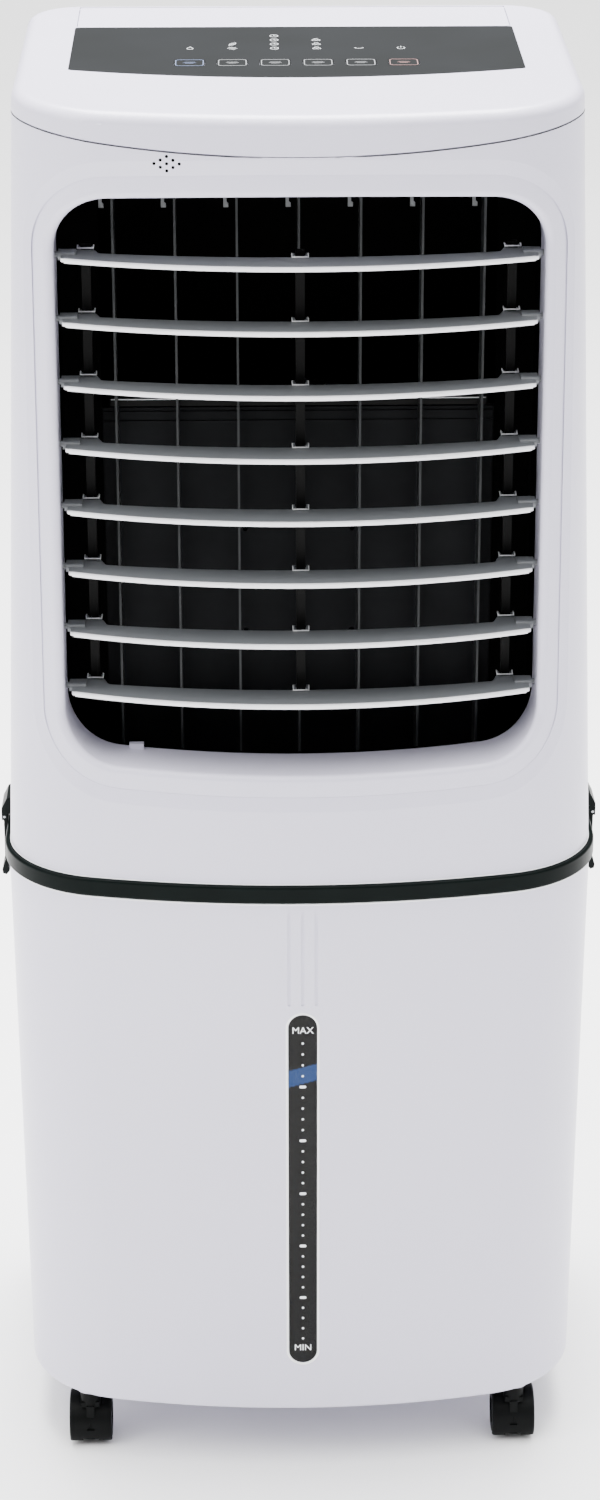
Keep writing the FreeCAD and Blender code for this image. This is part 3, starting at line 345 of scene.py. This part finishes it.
def hose_pvc_painted_glow():
    material = finish("blue PVC hose with painted glow", ("1c50c8", "2f6ae6"), (0.22, 0.32), (12, 8, 1.5))
    tree = material.node_tree
    shader = tree.nodes["Principled BSDF"]
    place = tree.nodes["Texture Coordinate"].outputs["Object"]
    # The emission is painted light, strongest at the spot behind the window.
    away = add(tree, "ShaderNodeVectorMath", {0: place, 1: PAINTED_GLOW_SPOT}, operation="DISTANCE").outputs["Value"]
    painted_glow = add(tree, "ShaderNodeMapRange", {"Value": away, "From Min": PAINTED_GLOW_FADE[0], "From Max": PAINTED_GLOW_FADE[1],
                                            "To Min": 0.0, "To Max": HOSE_PAINTED_GLOW})
    tree.links.new(painted_glow.outputs["Result"], shader.inputs["Emission Strength"])
    shader.inputs["Emission Color"].default_value = linear("5c96ff")
    return material


blue_pvc_painted_glow = hose_pvc_painted_glow()
print("hose glow", HOSE_PAINTED_GLOW)


# %% [markdown]
# Marks are screen-printed. The scale on the window is full white ink, matt. The signs and key
# outlines on the panel are thin half-tone ink, so the smoke grey shows through and mutes it.

# %% Printing inks
def printed_ink(name, tones):
    return finish(name, tones, (0.45, 0.6), (4, 3))


white_ink = printed_ink("white ink", ("f0f2f3", "f6f7f8"))
sign_ink = printed_ink("thin white ink", ("a8abad", "b6b9bb"))
grey_ink = printed_ink("half-tone grey ink", ("77797b", "828486"))
blue_ink = printed_ink("pale blue ink", ("505c7a", "5a6787"))
red_ink = printed_ink("warm red ink", ("7a5a58", "866361"))
print("five inks")


# %% [markdown]
# Every CAD node takes one of these finishes. A node's name is matched by its beginning, longest
# first, so eight louvers need one line.

# %% Dress the CAD nodes
FINISHES = {
    "water_tank": shell_abs, "upper_housing": shell_abs, "top_cap": shell_abs, "top_lid": lid_abs,
    "rear_grille": grille_abs, "louver_": louver_abs_painted_shade, "louver_side_links": link_pom,
    "louver_centre_link": link_pom, "outlet_frame": frame_pp, "blower_housing": frame_pp,
    "blower_cover": cover_pp, "blower_wheel": cover_pp, "vane_": vane_pp, "vane_link": link_pom,
    "waist_band": band_pp, "latch_": latch_pp, "latch_pins": plated_steel, "control_panel": panel_gloss,
    "key_": key_gloss, "level_window": window_acrylic, "fan_motor": plated_steel,
    "motor_shaft": plated_steel, "case_screws": plated_steel, "swing_motor": pump_pp,
    "water_pump": pump_pp, "drain_plug": latch_pp, "cord_gland": latch_pp, "dust_filter": filter_net,
    "cooling_pad": cellulose, "water_distributor": distributor_pp, "water_hose": blue_pvc_painted_glow,
    "control_board": board_mask, "caster_hood": caster_nylon, "caster_wheels": wheel_nylon,
}
for name, node in nodes.items():
    match = max((key for key in FINISHES if name.startswith(key)), key=len)
    node.data.materials.clear()
    node.data.materials.append(FINISHES[match])
print("dressed", len(nodes), "nodes")


# %% [markdown]
# Printed marks have to lie on the moulded surface, not near it. A ray shot at the CAD mesh finds
# the surface and its normal, and each mark is a thin closed slab drawn in that local plane.

# %% Surface finder and slabs
TREES = {}


def surface(node_name, origin, direction):
    """Where a ray meets the node, as (point, normal)."""
    if node_name not in TREES:
        TREES[node_name] = BVHTree.FromObject(nodes[node_name], bpy.context.evaluated_depsgraph_get())
    point, normal, _, _ = TREES[node_name].ray_cast(Vector(origin), Vector(direction).normalized())
    return point, normal


def plane_at(point, normal, right=(1, 0, 0)):
    """A matrix whose X is to the right, whose Y is up the surface and whose Z is the normal."""
    z = normal.normalized()
    y = z.cross(Vector(right)).normalized()
    x = y.cross(z)
    return Matrix((x, y, z)).transposed().to_4x4(), point


def new_piece(name, data, material, body, ride=True):
    """An object made from a mesh or a curve, which moves with the body."""
    piece = bpy.data.objects.new(name, data)
    bpy.context.scene.collection.objects.link(piece)
    piece.data.materials.append(material)
    if ride:
        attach(piece, body)
    return piece


INK = 0.12                  # thickness of a printed mark, mm


def slab_mesh(name, loops, plane, thickness=INK):
    """Closed slabs from outlines in millimetres, each a list of (x, y) anticlockwise."""
    turn, point = plane
    bm = bmesh.new()
    for loop in loops:
        top = [bm.verts.new(point + (turn @ Vector((x * MM, y * MM, thickness * MM)))) for x, y in loop]
        low = [bm.verts.new(point + (turn @ Vector((x * MM, y * MM, -0.02 * MM)))) for x, y in loop]
        bm.faces.new(top)
        bm.faces.new(low[::-1])
        for i in range(len(loop)):
            j = (i + 1) % len(loop)
            bm.faces.new((low[i], low[j], top[j], top[i]))
    bmesh.ops.recalc_face_normals(bm, faces=bm.faces)
    mesh = bpy.data.meshes.new(name)
    bm.to_mesh(mesh)
    bm.free()
    return mesh


def disc(x, y, radius, sides=20):
    return [(x + radius * math.cos(2 * math.pi * i / sides), y + radius * math.sin(2 * math.pi * i / sides))
            for i in range(sides)]


def bar(x, y, width, height):
    w, h = width / 2, height / 2
    return [(x - w, y - h), (x + w, y - h), (x + w, y + h), (x - w, y + h)]


def capsule(width, height):
    reach = (width - height) / 2
    return arc_points(reach, 0, height / 2, -90, 90, 6) + arc_points(-reach, 0, height / 2, 90, 270, 6)


def stroke(points, width, closed=False):
    """Outlines of the quads that follow a line of points with this width."""
    pairs = list(zip(points, points[1:] + points[:1])) if closed else list(zip(points, points[1:]))
    loops = []
    for (x0, y0), (x1, y1) in pairs:
        length = math.hypot(x1 - x0, y1 - y0)
        nx, ny = -(y1 - y0) / length * width / 2, (x1 - x0) / length * width / 2
        loops.append([(x0 - nx, y0 - ny), (x1 - nx, y1 - ny), (x1 + nx, y1 + ny), (x0 + nx, y0 + ny)])
    return loops


def arc_points(x, y, radius, start, end, count=14):
    angles = [math.radians(start + (end - start) * i / count) for i in range(count + 1)]
    return [(x + radius * math.cos(a), y + radius * math.sin(a)) for a in angles]


# %% [markdown]
# The level scale is printed on the window: long ticks with four dots between them, and the plain words MAX
# and MIN. A moulded rim frames the window like a stadium track; its white, brighter than the shell, is a
# painted highlight.

# %% Level scale
window_low, window_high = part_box("level_window")
TICK_TOP = window_high.z - 68.6 * MM
TICK_STEP = 51.8 * MM
DOTS_BETWEEN = 4
TICKS = 5
WORD_SIZE = 8.6 * MM


def window_plane(z):
    point, normal = surface("level_window", (0, -1, z), (0, 1, 0))
    return plane_at(point, normal)


def level_marks():
    step = TICK_STEP / (DOTS_BETWEEN + 1)
    for i in range(-DOTS_BETWEEN, TICKS * (DOTS_BETWEEN + 1)):
        z = TICK_TOP - i * step
        tick = i % (DOTS_BETWEEN + 1) == 0
        shape = [capsule(5.8, 2.5)] if tick else [disc(0, 0, 1.0, 12)]
        mesh = slab_mesh("level_mark", shape, window_plane(z))
        new_piece("level_mark_%02d" % (i + DOTS_BETWEEN), mesh, white_ink, "cooler")


def printed_word(name, word, z):
    curve = bpy.data.curves.new(name, "FONT")
    curve.body = word
    curve.align_x = "CENTER"
    curve.align_y = "CENTER"
    curve.size = WORD_SIZE
    curve.extrude = 0.05 * MM
    turn, point = window_plane(z)
    text = new_piece(name, curve, white_ink, "cooler", ride=False)
    text.matrix_world = Matrix.Translation(point + turn @ Vector((0, 0, 0.06 * MM))) @ turn
    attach(text, "cooler")


level_marks()
printed_word("word_max", "MAX", window_high.z - 15.2 * MM)
printed_word("word_min", "MIN", window_low.z + 15.4 * MM)
print("ticks every", round(TICK_STEP / MM, 1), "mm")


# %% Window rim
def stadium(half_width, low, high, turns=16):
    cap = [(half_width * math.cos(math.pi * i / turns), half_width * math.sin(math.pi * i / turns))
           for i in range(turns + 1)]
    upper = [(x, high - half_width + z) for x, z in cap]
    lower = [(-x, low + half_width - z) for x, z in cap]
    return upper + lower


def bead(name, paths, radius_mm, material, body, closed=False):
    """A round wire along each path of points."""
    curve = bpy.data.curves.new(name, "CURVE")
    curve.dimensions = "3D"
    curve.bevel_depth = radius_mm * MM
    curve.bevel_resolution = 3
    curve.use_fill_caps = True
    for path in paths:
        spline = curve.splines.new("POLY")
        spline.points.add(len(path) - 1)
        for target, point in zip(spline.points, path):
            target.co = (*point, 1)
        spline.use_cyclic_u = closed
    return new_piece(name, curve, material, body)


def window_rim():
    """A half-round bead that follows the window's edge on the tank's surface, in the whiter colour of a
    painted highlight.
    """
    half = (window_high.x - window_low.x) / 2 + 0.9 * MM
    path = []
    for x, z in stadium(half, window_low.z - 0.9 * MM, window_high.z + 0.9 * MM):
        point, _ = surface("water_tank", (x * 1.15, -1, z), (0, 1, 0))
        path.append(Vector((x, point.y + 0.5 * MM, z)))
    bead("window_rim", [path], 1.2, rim_highlight_white, "cooler", closed=True)


window_rim()
print("window half width, mm", round((window_high.x - window_low.x) / 2 / MM, 2))


# %% [markdown]
# Painted highlights on the moulded edges: the tank's rim shows as a thin bright line under the dark band, and
# the housing's sill as a thinner one above it, where the light catches them. Each is a fine bead, whiter than
# the shell, laid where level rays, aimed at the middle from all round, meet the shell.

# %% Rim highlight beads
def around(node_name, z, count=240):
    points = []
    for k in range(count):
        way = Vector((math.cos(2 * math.pi * k / count), math.sin(2 * math.pi * k / count), 0))
        point, _ = surface(node_name, way * 2 + Vector((0, 0, z)), -way)
        points.append(point)
    return points


band_low, band_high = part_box("waist_band")
# Both beads are painted highlights, whiter than the shell.
bead("tank_rim_highlight", [around("water_tank", band_low.z - 1.1 * MM)], 1.0, rim_highlight_white, "cooler", closed=True)
bead("sill_highlight", [around("upper_housing", band_high.z + 0.6 * MM)], 0.5, rim_highlight_white, "cooler", closed=True)


# %% [markdown]
# Two small dark details read clearly against the white: the parting line between housing and cap, where a
# thin dark bead in the gap is painted shade for the shadow inside it, and the speaker holes, which have black
# cloth close behind their mouths.

# %% Painted seam shade and speaker cloth
SEAM_Z, SEAM_R = 1170.0 * MM, 1400.0 * MM
SPEAKER = (-103.7, 1164.6)
SPEAKER_SPOTS = ((0, 2), (0, 0), (0, -2), (-1, 1), (1, 1), (-1, -1), (1, -1), (-2, 0), (2, 0))


def seam_height(x):
    return SEAM_Z + SEAM_R - math.sqrt(SEAM_R ** 2 - x ** 2)


def seam_shade_line(count=240):
    # A dark bead set 0.3 mm into the gap between housing and cap: painted shade for the shadow in that gap.
    path = []
    for point in around("upper_housing", SEAM_Z - 4 * MM, count):
        outward = Vector((point.x, point.y, 0)).normalized()
        z = seam_height(point.x)
        hit, _ = surface("upper_housing", outward * 2 + Vector((0, 0, z - 3 * MM)), -outward)
        path.append(Vector((hit.x, hit.y, seam_height(hit.x) - 0.35 * MM)) - outward * 0.3 * MM)
    bead("seam_shade_line", [path], 0.42, seam_shade_grey, "cooler", closed=True)


def speaker_cloth():
    for i, (across, up) in enumerate(SPEAKER_SPOTS, start=1):
        x, z = (SPEAKER[0] + across * 4.9) * MM, (SPEAKER[1] + up * 2.85) * MM
        point, normal = surface("upper_housing", (x + 2.45 * MM, -1, z + 0.1 * MM), (0, 1, 0))
        turn, _ = plane_at(point, normal)
        spot = Vector((x, point.y + 0.75 * MM, z))
        dome = [disc(0, 0, 1.28, 14), disc(0, 0, 0.8, 10)]
        mesh = slab_mesh("speaker_cloth", dome, (turn, spot), 0.4)
        new_piece("speaker_cloth_%d" % i, mesh, frame_pp, "cooler")


seam_shade_line()
speaker_cloth()
print("painted seam shade and", len(SPEAKER_SPOTS), "speaker holes")


# %% [markdown]
# Each louver is held to its link bars by natural-white POM staples, one in the middle and one near each end.
# From the front they are the small bright U shapes behind every blade. The vanes have a small stop tab beside
# each upper pivot, and their black link has a thin light strip along its top edge, a painted highlight.

# %% Louver staples
PIVOT_BEHIND = 58.5 * MM    # the pivot lies this far behind the lip
STAPLE_HALF, STAPLE_RISE = 6.4, 0.6     # mm
# x, front, rear and height of each staple, in mm from the louver's pivot
STAPLES = ((0, -22.6, -12.5, 2.0), (-171, 9.4, 17.5, 3.0), (171, 9.4, 17.5, 3.0))


def louver_staples():
    for i in range(1, 9):
        low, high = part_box("louver_%d" % i)
        pivot = Vector((0, low.y + PIVOT_BEHIND, (low.z + high.z) / 2))
        wires = []
        for x, front, rear, z in STAPLES:
            left, right, foot = x - STAPLE_HALF, x + STAPLE_HALF, z + STAPLE_RISE
            corners = ((left, rear, foot), (left, front, z), (right, front, z), (right, rear, foot))
            wires.append([pivot + Vector(corner) * MM for corner in corners])
        bead("staple_%d" % i, wires, 0.6, clip_white_and_link_highlight, "louver_%d" % i)


louver_staples()
print("staples per louver", len(STAPLES))

# %% Vane tabs and link highlight strip
TAB = [(-10.6, 0), (-6.6, 0), (-6.6, 3.0), (-8.0, 4.0), (-8.0, 32.0), (-10.6, 32.0)]


def vane_tabs():
    for i in range(1, 8):
        low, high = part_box("vane_%d" % i)
        foot = Vector(((low.x + high.x) / 2, low.y + 4 * MM, high.z - 29 * MM))
        plane = plane_at(foot, Vector((0, -1, 0)))
        mesh = slab_mesh("vane_tab", [TAB], plane, 2.0)
        new_piece("vane_tab_%d" % i, mesh, tab_pp, "cooler")
    low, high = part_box("vane_link")
    # A light bead along the top edge of the black link: painted highlight.
    strip = [Vector((x, low.y, high.z - 0.3 * MM)) for x in (low.x + 3 * MM, high.x - 3 * MM)]
    bead("vane_link_strip", [strip], 0.45, clip_white_and_link_highlight, "vane_link")


vane_tabs()
print("seven tabs and the link strip")


# %% [markdown]
# The panel has a row of six keys, each with a thin printed outline, and a pictogram behind each
# one: a drop, a breeze, a clock, a fan, a swing arc and a power sign. They are plain signs that
# any maker uses. The first key's outline is pale blue and the last one's is warm red.

# %% Keys and pictograms
def key_plane(index, forward_mm=0.0):
    low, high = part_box("key_%d" % index)
    x, y = (low.x + high.x) / 2, (low.y + high.y) / 2 + forward_mm * MM
    node = "key_%d" % index if forward_mm == 0 else "control_panel"
    point, normal = surface(node, (x, y, 2), (0, 0, -1))
    return plane_at(point, normal)


def rounded_rectangle(half_w, half_d, radius):
    points = []
    for cx, cy, start in ((1, 1, 0), (-1, 1, 90), (-1, -1, 180), (1, -1, 270)):
        points += arc_points(cx * (half_w - radius), cy * (half_d - radius), radius, start, start + 90, 5)
    return points


SIGN_LINE = 0.8             # width of a pictogram's line, mm


def drop():
    sides = [(0, 5.2), (-2.2, 1.6)] + arc_points(0, 0, 2.9, 170, 370, 14) + [(2.2, 1.6)]
    return stroke(sides, SIGN_LINE, closed=True)


def breeze():
    lines = []
    for y, reach in ((2.8, 3.6), (0, 5.0), (-2.8, 2.8)):
        wave = [(-reach + 2 * reach * i / 10, y + 0.8 * math.sin(i * math.pi / 5)) for i in range(11)]
        lines += stroke(wave, SIGN_LINE)
    return lines


def clock():
    face = stroke(arc_points(0, 0, 3.8, 0, 354, 22), SIGN_LINE, closed=True)
    return face + stroke([(0, 2.6), (0, 0), (2.0, -0.6)], SIGN_LINE)


def fan_sign():
    blades = []
    for k in range(3):
        turn = 120 * k + 90
        blades += stroke(arc_points(2.3 * math.cos(math.radians(turn)), 2.3 * math.sin(math.radians(turn)),
                                    1.9, turn - 140, turn + 140, 12), SIGN_LINE)
    return blades + [disc(0, 0, 0.8, 10)]


def swing_sign():
    head = [[(-4.6, 1.2), (-2.6, 1.0), (-4.2, -0.8)], [(4.6, 1.2), (4.2, -0.8), (2.6, 1.0)]]
    return stroke(arc_points(0, 3.0, 4.6, 210, 330, 12), SIGN_LINE) + head


def power_sign():
    return stroke(arc_points(0, 0, 3.6, 125, 415, 18), SIGN_LINE) + [bar(0, 3.2, 0.9, 4.0)]


def leaf():
    edge = [(-3, -4), (-2.6, 0.6), (0.4, 3.8), (3.4, 4.4), (3.0, 1.0), (0.6, -2.4)]
    return stroke(edge, SIGN_LINE, closed=True) + stroke([(-3.6, -4.8), (1.6, 2.4)], 0.7)


COLUMNS = ((drop,), (breeze, leaf), (clock,) * 4, (fan_sign,) * 3, (swing_sign,), (power_sign,))
OUTLINE_INKS = (blue_ink, grey_ink, grey_ink, grey_ink, grey_ink, red_ink)
SIGN_AHEAD = 48.0           # the first pictogram stands this far behind its key, mm
SIGN_STEP = 14.3
SIGN_SCALE = (0.85, 1.05)


def key_prints():
    outline = stroke(rounded_rectangle(11.2, 9.8, 3.0), 0.7, closed=True)
    legend = [bar(0, 1.8, 8.5, 0.6), bar(0, -0.2, 10.5, 0.6), bar(0, -2.2, 6.5, 0.6)]
    for i, (column, ink) in enumerate(zip(COLUMNS, OUTLINE_INKS), start=1):
        new_piece("key_outline_%d" % i, slab_mesh("key_outline", outline, key_plane(i)), ink, "key_%d" % i)
        new_piece("key_legend_%d" % i, slab_mesh("key_legend", legend, key_plane(i)), ink, "key_%d" % i)
        for k, sign in enumerate(column):
            loops = [[(x * SIGN_SCALE[0], y * SIGN_SCALE[1]) for x, y in loop] for loop in sign()]
            mesh = slab_mesh("pictogram", loops, key_plane(i, SIGN_AHEAD + k * SIGN_STEP))
            new_piece("pictogram_%d_%d" % (i, k + 1), mesh, sign_ink, "cooler")


key_prints()
print("pictograms", sum(len(column) for column in COLUMNS))


# %% [markdown]
# The water hose is corrugated PVC: small ribs 4.2 mm apart let it bend without kinking. It
# stands for the plain CAD hose and follows the same corners, rounded by a NURBS spline, with its
# radius rising and falling along its length.

# %% Ribbed hose
HOSE_ROUTE = [(-120, 49, 84), (-120, -60, 84), (-150, -130, 150), (-120, -150, 300), (-50, -168, 362),
              (50, -168, 388), (140, -110, 420), (214, 0, 500), (216, 100, 600), (212, 120, 760),
              (210, 120, 960), (208, 126, 1100), (196, 150, 1162), (162, 168, 1162), (160, 168, 1140)]
RIB_PITCH = 4.2 * MM
HOSE_OUT, HOSE_IN = 7.4 * MM, 6.3 * MM


def spline_points(route, count):
    curve = bpy.data.curves.new("route", "CURVE")
    curve.dimensions = "3D"
    spline = curve.splines.new("NURBS")
    spline.points.add(len(route) - 1)
    for target, (x, y, z) in zip(spline.points, route):
        target.co = (x * MM, y * MM, z * MM, 1)
    spline.order_u = 3
    spline.use_endpoint_u = True
    spline.resolution_u = count
    carrier = bpy.data.objects.new("route", curve)
    mesh = bpy.data.meshes.new_from_object(carrier)
    points = [v.co.copy() for v in mesh.vertices]
    bpy.data.objects.remove(carrier)
    return points


def evenly(points, step):
    """Points a step apart along a line of points."""
    out, need = [points[0]], step
    for a, b in zip(points, points[1:]):
        length = (b - a).length
        while need <= length:
            out.append(a.lerp(b, need / length))
            need += step
        need -= length
    return out


def tube_mesh(name, path, radius_at, sides=16):
    bm = bmesh.new()
    rings, side = [], Vector((0, 0, 1))
    for i, point in enumerate(path):
        along = (path[min(i + 1, len(path) - 1)] - path[max(i - 1, 0)]).normalized()
        side = (side - along * side.dot(along)).normalized()
        other = along.cross(side)
        r = radius_at(i)
        rings.append([bm.verts.new(point + (side * math.cos(a) + other * math.sin(a)) * r)
                      for a in (2 * math.pi * k / sides for k in range(sides))])
    for low, high in zip(rings, rings[1:]):
        for k in range(sides):
            bm.faces.new((low[k], low[(k + 1) % sides], high[(k + 1) % sides], high[k]))
    bm.faces.new(rings[0][::-1])
    bm.faces.new(rings[-1])
    for face in bm.faces:
        face.smooth = True
    mesh = bpy.data.meshes.new(name)
    bm.to_mesh(mesh)
    bm.free()
    return mesh


def ribbed_hose():
    path = evenly(spline_points(HOSE_ROUTE, 40), RIB_PITCH / 4)
    shape = (HOSE_IN, (HOSE_IN + HOSE_OUT) / 2, HOSE_OUT, (HOSE_IN + HOSE_OUT) / 2)
    mesh = tube_mesh("ribbed_hose", path, lambda i: shape[i % 4])
    hose = new_piece("ribbed_hose", mesh, blue_pvc_painted_glow, "cooler")
    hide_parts("water_hose")
    print("hose path points", len(path))
    return hose


ribbed_hose()


# %% [markdown]
# The cooling pad is a block of fluted paper glued in crossing layers. Its two broad faces show
# rows of slanted cells, so a grid of points is pushed in and out by two crossing waves.

# %% Fluted pad
FLUTE = 9.0 * MM            # pitch of the cells
CELL_DEPTH = 1.6 * MM       # half the depth of a cell


def fluted_pad():
    low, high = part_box("cooling_pad")
    cols, rows = 150, 220
    bm = bmesh.new()
    grid = {}
    for face_y, inward in ((high.y, -1), (low.y, 1)):
        for r in range(rows + 1):
            for c in range(cols + 1):
                x = low.x + (high.x - low.x) * c / cols
                z = low.z + (high.z - low.z) * r / rows
                rising, falling = (2 * math.pi * (x + slope * z) / FLUTE for slope in (0.5, -0.5))
                wave = math.sin(rising) * math.sin(falling)
                edge = 0 if r in (0, rows) or c in (0, cols) else 1
                depth = edge * CELL_DEPTH * (1 + wave)
                grid[face_y, r, c] = bm.verts.new((x, face_y + inward * depth, z))
        for r in range(rows):
            for c in range(cols):
                steps = ((r, c), (r, c + 1), (r + 1, c + 1), (r + 1, c))
                quad = [grid[face_y, *step] for step in steps]
                bm.faces.new(quad if inward > 0 else quad[::-1])
    ring = [(0, c) for c in range(cols)] + [(r, cols) for r in range(rows)]
    ring += [(rows, c) for c in range(cols, 0, -1)] + [(r, 0) for r in range(rows, 0, -1)]
    for a, b in zip(ring, ring[1:] + ring[:1]):
        bm.faces.new((grid[low.y, *a], grid[high.y, *a], grid[high.y, *b], grid[low.y, *b]))
    bmesh.ops.recalc_face_normals(bm, faces=bm.faces)
    mesh = bpy.data.meshes.new("fluted_pad")
    bm.to_mesh(mesh)
    bm.free()
    pad = new_piece("fluted_pad", mesh, cellulose, "pad_cassette")
    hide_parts("cooling_pad")
    return pad


fluted_pad()


# %% [markdown]
# The floor is a large pale plane. It is part of the stage, not of the cooler.

# %% Floor
FLOOR_HALF = 60             # large enough for its edge to stay out of sight, m


def studio_floor():
    material = finish("pale floor", ("f6f6f6", "f9f9f9"), (0.6, 0.6), (900, 900), (1, 1))
    bm = bmesh.new()
    signs = ((-1, -1), (1, -1), (1, 1), (-1, 1))
    corners = [bm.verts.new((x * FLOOR_HALF, y * FLOOR_HALF, 0)) for x, y in signs]
    bm.faces.new(corners)
    mesh = bpy.data.meshes.new("floor")
    bm.to_mesh(mesh)
    bm.free()
    floor = bpy.data.objects.new("floor", mesh)
    bpy.context.scene.collection.objects.link(floor)
    floor.data.materials.append(material)


studio_floor()
print("floor half width, m", FLOOR_HALF)
